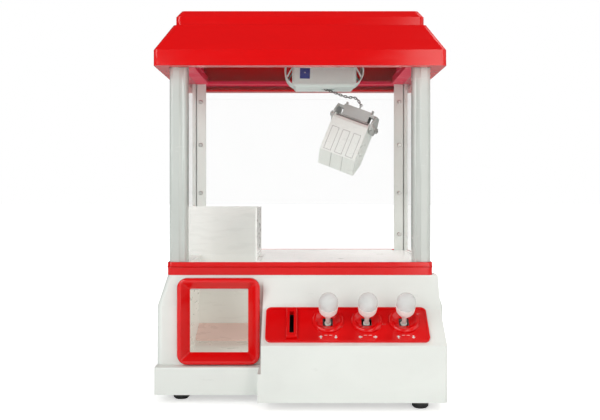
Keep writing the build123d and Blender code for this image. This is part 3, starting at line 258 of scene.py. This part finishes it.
def printed(name, colour, rough=0.5):
    """Ink or a paper sticker with a soft fibre."""
    material, tree, bsdf, coords = shader(name)
    fibre = noise(tree, coords, 700.0, 5.0)
    base = mix_colour(tree, spread(tree, fibre, 0, 1), colour, shade(colour, 0.86))
    tree.links.new(base, bsdf.inputs["Base Color"])
    tree.links.new(spread(tree, fibre, rough * 0.8, rough * 1.2), bsdf.inputs["Roughness"])
    add_bump(tree, bsdf, fibre, 0.1, 0.00005)
    return material


red_shell = plastic(
    "red_shell", RED, rough=0.13, grain=0.05, grain_scale=1100.0, wear=0.03, specular=0.45)
red_bezel = plastic(
    "red_bezel", RED, rough=0.13, grain=0.05, grain_scale=1100.0, wear=0.12, specular=0.55)
# inner roof parts: red plastic, dulled and tinted purple as painted shade
red_inner = plastic(
    "red_inner", RED_DEEP, rough=0.42, grain=0.25, grain_scale=900.0, wear=0.2, specular=0.15)
white_shell = plastic("white_shell", WHITE, rough=0.34, grain=0.3, grain_scale=1500.0, specular=0.4)
white_inner = plastic(
    "white_inner", WHITE_INNER, rough=0.4, grain=0.25, grain_scale=1300.0, specular=0.35)
column_grey = plastic("column_grey", GREY, rough=0.22, grain=0.12, coat=0.25)
post_grey = plastic("post_grey", POST_GREY, rough=0.32, grain=0.2, coat=0.1)
# the claw gets painted shade darkening its grooves
claw_grey = plastic(
    "claw_grey", CLAW, rough=0.3, grain=0.2, grain_scale=1300.0, coat=0.1, crevice=GROOVE_SHADE_REACH)
claw_head = plastic("claw_head_grey", CLAW_DARK, rough=0.22, wear=0.6, coat=0.2)
# bay, ramp, bed, guard and cups carry a small painted glow that lifts their shade
bay_white = plastic("bay_white", BAY, rough=0.3, grain=0.1, wear=0.2, specular=0.4, glow=0.16, dirt=0.02)
ramp_white = plastic(
    "ramp_white", RAMP_PAINTED_BOUNCE, rough=0.3, grain=0.1, wear=0.2, specular=0.4, glow=0.1, dirt=0.02)
bed_white = plastic("bed_white", BED, rough=0.34, grain=0.2, grain_scale=1400.0, specular=0.4, glow=0.17)
carriage_white = plastic(
    "carriage_white", CARRIAGE, rough=0.34, grain=0.2, grain_scale=1400.0, wear=0.6, specular=0.4)
guard_white = plastic(
    "guard_white", GUARD, rough=0.28, grain=0.1, wear=0.3, coat=0.15, glow=0.08, dirt=0.03)
frosted = plastic("frosted_cup", FROST, rough=0.38, grain=0.4, grain_scale=1500.0, glow=0.06)
black_plastic = plastic("black_plastic", (0.02, 0.02, 0.022), rough=0.42, grain=0.3, wear=0.3)
board_green = plastic(
    "board_green", (0.02, 0.16, 0.06), rough=0.3, grain=0.2, grain_scale=800.0, wear=0.3, coat=0.3)
cell_wrap = plastic(
    "cell_wrap", (0.05, 0.06, 0.08), rough=0.25, grain=0.1, grain_scale=900.0, wear=0.3, coat=0.3)
steel = metal("steel", STEEL)
chain_steel = metal("chain_steel", (0.22, 0.21, 0.20), rough=0.24, brush=(1, 1, 1), wear=0.5)
brass = metal("brass_contact", (0.62, 0.46, 0.18))
black_rubber = rubber("black_rubber", BLACK)
clear_pane = clear_sheet("clear_pane", (0.80, 0.86, 0.84))
ball_clear = clear_ball("knob_clear")
label_blue = printed("label_blue", (0.030, 0.050, 0.30), rough=0.45)
ink_white = printed("ink_white", (0.80, 0.76, 0.74))

MATERIAL_OF = {
    "base_shell": white_shell, "base_plate": white_inner, "rubber_feet": black_rubber, "case_screws": steel,
    "base_band": red_shell, "prize_bezel": red_bezel, "prize_tray": bay_white, "chute_ramp": ramp_white,
    "prize_bed": bed_white, "chute_guard": guard_white, "control_panel": red_shell,
    "coin_slot_block": red_shell, "coin_channel": black_plastic, "coin_box": white_inner,
    "underside_hatches": white_inner, "stick_brackets": black_plastic, "stick_pins": steel,
    "stick_switches": black_plastic, "battery_box": black_plastic, "battery_cells": cell_wrap,
    "battery_contacts": brass, "circuit_board": board_green, "speaker": black_plastic,
    "power_jack": black_plastic, "power_switch_case": black_plastic, "power_switch_knob": black_plastic,
    "front_columns": column_grey, "rear_posts": post_grey, "front_window": clear_pane,
    "side_windows": clear_pane, "rear_door": clear_pane, "door_knob": white_inner, "door_pins": steel,
    "roof_shell": red_shell, "roof_cap": red_shell, "top_frame": red_inner, "side_rails": red_inner,
    "bridge_frame": red_inner, "bridge_rods": steel, "bridge_motor": steel, "bridge_axle": steel,
    "carriage_body": carriage_white, "carriage_tray": carriage_white, "carriage_brackets": carriage_white,
    "carriage_label": label_blue, "carriage_motor": steel, "carriage_pinion": white_inner,
    "hoist_motor": steel, "hoist_wheel": white_inner, "hoist_chain": chain_steel, "claw_head": claw_head,
    "claw_pins": steel, "jaw_front": claw_grey, "jaw_rear": claw_grey,
}
for index in (1, 2, 3):
    MATERIAL_OF[f"stick_shaft_{index}"] = white_inner
    MATERIAL_OF[f"stick_knob_{index}"] = frosted

for name, node in nodes.items():
    node.data.materials.clear()
    node.data.materials.append(MATERIAL_OF[name])


# ---------------------------------------------------------------- softened edges on moulded parts
WELD_GAP = 0.01 * MM
PLATING = 0.16 * MM
SOFT_EDGES = {                          # millimetres
    "base_shell": 0.7, "base_band": 0.5, "prize_bezel": 0.5, "control_panel": 0.4,
    "coin_slot_block": 0.4, "roof_shell": 0.7, "roof_cap": 0.9, "front_columns": 0.5,
    "carriage_body": 0.5, "carriage_tray": 0.5, "chute_guard": 0.3, "door_knob": 0.3,
    "rubber_feet": 0.6,
}


def soften(name, width, angle=28.0):
    """Small rounded edges on a CAD node, by modifiers only."""
    node = nodes[name]
    weld = node.modifiers.new("weld", "WELD")
    weld.merge_threshold = WELD_GAP
    bevel = node.modifiers.new("edge", "BEVEL")
    bevel.width = width * MM
    bevel.segments = 2
    bevel.limit_method = "ANGLE"
    bevel.angle_limit = math.radians(angle)
    bevel.harden_normals = True
    bevel.use_clamp_overlap = True


for soft_name, soft_width in SOFT_EDGES.items():
    soften(soft_name, soft_width)
# the plating makes the chain's wire a little plumper
plump = nodes["hoist_chain"].modifiers.new("plating", "DISPLACE")
plump.mid_level = 0.0
plump.strength = PLATING


# ---------------------------------------------------------------- helpers for added pieces
def mesh_object(name, build):
    """A new mesh from a bmesh builder."""
    mesh = bpy.data.meshes.new(name)
    work = bmesh.new()
    build(work)
    bmesh.ops.recalc_face_normals(work, faces=work.faces)
    work.to_mesh(mesh)
    work.free()
    piece = bpy.data.objects.new(name, mesh)
    bpy.context.scene.collection.objects.link(piece)
    return piece


def smooth(piece, angle=35.0):
    for face in piece.data.polygons:
        face.use_smooth = True
    piece.data.set_sharp_from_angle(angle=math.radians(angle))


def lathe(work, profile, steps=48):
    """Turns (radius, height) pairs about local Z; ends on the axis close the shape."""
    turns = [2 * math.pi * i / steps for i in range(steps)]
    rings = []
    for radius, height in profile:
        if radius == 0:
            rings.append([work.verts.new((0, 0, height))])
            continue
        rings.append([work.verts.new((radius * math.cos(a), radius * math.sin(a), height)) for a in turns])
    for low, high in zip(rings, rings[1:]):
        for i in range(steps):
            j = (i + 1) % steps
            if len(low) == 1:
                work.faces.new((low[0], high[j], high[i]))
            elif len(high) == 1:
                work.faces.new((low[i], low[j], high[0]))
            else:
                work.faces.new((low[i], low[j], high[j], high[i]))


def slab(work, outline, low, high):
    """A flat shape in local XY between two heights."""
    bottom = [work.verts.new((x, y, low)) for x, y in outline]
    top = [work.verts.new((x, y, high)) for x, y in outline]
    work.faces.new(bottom[::-1])
    work.faces.new(top)
    for i in range(len(outline)):
        j = (i + 1) % len(outline)
        work.faces.new((bottom[i], bottom[j], top[j], top[i]))


def finish_piece(piece, material, body, place):
    piece.data.materials.append(material)
    piece.data.transform(place)
    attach(piece, body)


# ---------------------------------------------------------------- control slope frame
JOINTS = {joint["name"]: joint for joint in frame["record"]["behaviour"]["joints"]}
PIVOTS = {index: Vector(JOINTS[f"stick_{index}_tilt"]["pos_m"]) for index in (1, 2, 3)}
SLOPE_UP = Vector(JOINTS["stick_2_tilt"]["axis"])
SLOPE_OUT = Vector((1, 0, 0)).cross(SLOPE_UP)
PIVOT_DEPTH = 9.0 * MM          # the pivots lie this far under the slope
PANEL_FACE = 2.0 * MM


def slope_place(origin):
    """Local X across, Y up the slope, Z out of it."""
    place = Matrix((Vector((1, 0, 0)), SLOPE_UP, SLOPE_OUT)).transposed().to_4x4()
    place.translation = origin
    return place


# ---------------------------------------------------------------- control sticks: clear ball on a frosted cup
BALL = 10.45 * MM
BALL_WALL = 1.1 * MM
CENTRE = PIVOT_DEPTH + 31.2 * MM        # ball centre above the pivot
MOUTH = CENTRE - 4.2 * MM               # lower end of the ball's skirt
SKIRT_TAPER = 0.985


def ball_shape(work):
    """Clear shell from the crown down to the cup's mouth."""
    turns = [math.radians(6 * i) for i in range(16)]
    hollow = BALL - BALL_WALL
    outer = [(BALL * math.sin(a), CENTRE + BALL * math.cos(a)) for a in turns]
    inner = [(hollow * math.sin(a), CENTRE + hollow * math.cos(a)) for a in turns[::-1]]
    lathe(work, outer + [(BALL * SKIRT_TAPER, MOUTH), (hollow, MOUTH)] + inner)


def cup_shape(work):
    """Frosted tapered cup with a domed seat inside the ball."""
    rim = CENTRE - 4.5 * MM
    lathe(work, [
        (0, CENTRE - 20.0 * MM), (4.4 * MM, CENTRE - 20.0 * MM), (5.2 * MM, CENTRE - 19.0 * MM),
        (6.6 * MM, CENTRE - 16.5 * MM), (8.6 * MM, CENTRE - 14.3 * MM), (9.6 * MM, CENTRE - 12.6 * MM),
        (10.1 * MM, CENTRE - 10.0 * MM), (10.5 * MM, rim - 0.8 * MM), (10.6 * MM, rim - 0.2 * MM),
        (10.3 * MM, rim), (8.8 * MM, rim), (7.4 * MM, rim + 2.4 * MM), (4.6 * MM, rim + 4.4 * MM),
        (0, rim + 5.2 * MM),
    ])


for index in (1, 2, 3):
    seat = slope_place(PIVOTS[index])
    ball = mesh_object(f"stick_ball_{index}", ball_shape)
    smooth(ball)
    finish_piece(ball, ball_clear, f"stick_{index}", seat)
    cup = mesh_object(f"stick_cup_{index}", cup_shape)
    smooth(cup)
    finish_piece(cup, frosted, f"stick_{index}", seat)
    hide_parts(f"stick_knob_{index}")
    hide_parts(f"stick_knob_{index}")


# ---------------------------------------------------------------- printed arrows under the sticks
ARROW_UP = -22.7 * MM                   # the arrows' line on the slope, from the pivots
ARROW_GAP = 8.0 * MM                    # to each side of the stick
ARROW_SIZE = 2.3 * MM
DASH_UP = -20.3 * MM
DASH_GAP = 2.6 * MM
DASH_WIDTH = 3.2 * MM
DASH_HEIGHT = 0.5 * MM
INK = 0.06 * MM                         # thickness of the print
SHAFT = 0.32                            # half width of an arrow's shaft, as a share of its size
HEAD = 0.95
TAIL = -0.9


def arrow_shape(way, size):
    """A stubby arrow in local XY pointing along way."""
    outline = [
        (-SHAFT, TAIL), (SHAFT, TAIL), (SHAFT, 0.0), (HEAD, 0.0), (0.0, HEAD), (-HEAD, 0.0), (-SHAFT, 0.0),
    ]
    turn = math.atan2(way[1], way[0]) - math.pi / 2
    across, along = size * math.cos(turn), size * math.sin(turn)
    return [(x * across - y * along, x * along + y * across) for x, y in outline]


def dash_shape(width, height):
    x, y = width / 2, height / 2
    return [(-x, -y), (x, -y), (x, y), (-x, y)]


def print_on_panel(name, outline, pivot, across, up):
    """A flat inked shape on the panel's face, placed from a stick's pivot."""
    piece = mesh_object(name, lambda work: slab(work, outline, 0.0, INK))
    origin = pivot + SLOPE_UP * up + SLOPE_OUT * (PIVOT_DEPTH + PANEL_FACE) + Vector((across, 0, 0))
    finish_piece(piece, ink_white, "cabinet", slope_place(origin))


for index in (1, 2, 3):
    ways = ((-1, 0), (1, 0)) if index == 2 else ((0, 1), (0, -1))
    sides = ((-1, "low"), (1, "high"))
    for (side, end), way in zip(sides, ways):
        arrow = arrow_shape(way, ARROW_SIZE)
        print_on_panel(f"arrow_{index}_{end}", arrow, PIVOTS[index], side * ARROW_GAP, ARROW_UP)
    for side, end in sides:
        dash = dash_shape(DASH_WIDTH, DASH_HEIGHT)
        print_on_panel(f"dash_{index}_{end}", dash, PIVOTS[index], side * DASH_GAP, DASH_UP)


# ---------------------------------------------------------------- dot on the carriage sticker
label_low, label_high = (Vector(corner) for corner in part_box("carriage_label"))
LABEL_MID = (label_low + label_high) / 2
DOT_RADIUS = 0.75 * MM
DOT_HEIGHT = 0.08 * MM
DOT_SUNK = 0.02 * MM
DOT_UP = 1.0 * MM


def dot_shape(work):
    lathe(work, [(0, 0), (DOT_RADIUS, 0), (DOT_RADIUS, DOT_HEIGHT), (0, DOT_HEIGHT)], 20)


dot = mesh_object("label_dot", dot_shape)
face_front = Matrix.Rotation(math.radians(90), 4, "X")
finish_piece(
    dot, ink_white, "carriage",
    Matrix.Translation((LABEL_MID.x, label_low.y + DOT_SUNK, LABEL_MID.z + DOT_UP)) @ face_front)


# ---------------------------------------------------------------- stage, light, camera
CAMERA_PLACE = (0.0, -1.006, 0.2315)
CAMERA_LENS = 48.78
CAMERA_SENSOR = 36.0
CAMERA_SHIFT = -0.0283
ROOM_GREY = (0.16, 0.165, 0.16, 1)
FLOOR_SIZE = 30
WARM = (1.0, 0.97, 0.94)


def softbox(name, place, target, size, power, colour=(1, 1, 1)):
    """A rectangular lamp at place, turned to the target; power in watts."""
    light = bpy.data.lights.new(name, "AREA")
    light.shape = "RECTANGLE"
    light.size, light.size_y = size
    light.energy = power
    light.color = colour
    lamp = bpy.data.objects.new(name, light)
    bpy.context.scene.collection.objects.link(lamp)
    lamp.location = place
    lamp.rotation_mode = "QUATERNION"
    lamp.rotation_quaternion = (Vector(place) - Vector(target)).to_track_quat("Z", "Y")


def studio():
    """White backdrop to the camera, grey room to the object, pale floor and soft lamps."""
    world = bpy.data.worlds.new("studio")
    bpy.context.scene.world = world
    world.use_nodes = True
    tree = world.node_tree
    back = tree.nodes["Background"]
    path = tree.nodes.new("ShaderNodeLightPath")
    blend = tree.nodes.new("ShaderNodeMix")
    blend.data_type = "RGBA"
    blend.inputs[MIX_FIRST].default_value = ROOM_GREY
    blend.inputs[MIX_SECOND].default_value = (1, 1, 1, 1)
    tree.links.new(path.outputs["Is Camera Ray"], blend.inputs[MIX_FACTOR])
    tree.links.new(blend.outputs[MIX_RESULT], back.inputs["Color"])
    bpy.ops.mesh.primitive_grid_add(x_subdivisions=8, y_subdivisions=8, size=FLOOR_SIZE)
    floor = bpy.context.object
    floor.name = "floor"
    floor.data.materials.append(floor_material())
    softbox("key", (-1.3, -1.6, 1.2), (0, 0, 0.2), (1.2, 1.4), 21)
    softbox("fill", (1.7, -0.6, 0.7), (0, 0, 0.2), (1.4, 1.4), 8, (1.0, 0.975, 0.95))
    softbox("top", (0.0, 0.95, 1.8), (0, 0, 0.4), (1.4, 0.9), 10)
    softbox("top_right", (0.85, -0.1, 1.9), (0.3, -0.1, 0.2), (0.9, 0.7), 8, WARM)
    softbox("strip_right", (0.58, -1.6, 0.35), (0.1, 0, 0.25), (0.5, 0.9), 5.0, (1.0, 0.96, 0.92))
    softbox("strip_left", (-0.60, -1.6, 0.42), (-0.1, 0, 0.25), (0.34, 0.35), 2.0)
    softbox("back", (0.4, 1.8, 1.1), (0, 0, 0.25), (1.8, 1.0), 12)


def floor_material():
    """Pale floor; only the camera sees its glow, so it doesn't light the object."""
    material, tree, bsdf, coords = shader("floor")
    grain = noise(tree, coords, 3.0, 2.0)
    reach = tree.nodes.new("ShaderNodeVectorMath")
    reach.operation = "LENGTH"
    tree.links.new(coords.outputs["Object"], reach.inputs[0])
    path = tree.nodes.new("ShaderNodeLightPath")
    seen = tree.nodes.new("ShaderNodeMath")
    seen.operation = "MULTIPLY"
    tree.links.new(spread(tree, reach.outputs["Value"], 0.50, 0.97, 0.30, 1.5), seen.inputs[0])
    tree.links.new(path.outputs["Is Camera Ray"], seen.inputs[1])
    tree.links.new(seen.outputs["Value"], bsdf.inputs["Emission Strength"])
    bsdf.inputs["Emission Color"].default_value = (1, 1, 1, 1)
    tree.links.new(
        mix_colour(tree, spread(tree, grain, 0, 1), (0.93, 0.93, 0.93), (0.96, 0.96, 0.96)),
        bsdf.inputs["Base Color"])
    bsdf.inputs["Roughness"].default_value = 0.9
    bsdf.inputs["Specular IOR Level"].default_value = 0.1
    return material


def camera():
    data = bpy.data.cameras.new("camera")
    view = bpy.data.objects.new("camera", data)
    bpy.context.scene.collection.objects.link(view)
    view.location = CAMERA_PLACE
    view.rotation_euler = (math.radians(90), 0, 0)
    data.lens = CAMERA_LENS
    data.sensor_width = CAMERA_SENSOR
    data.shift_y = CAMERA_SHIFT
    data.clip_start = 0.01
    bpy.context.scene.camera = view


bpy.context.scene.view_settings.view_transform = "Standard"
studio()
camera()
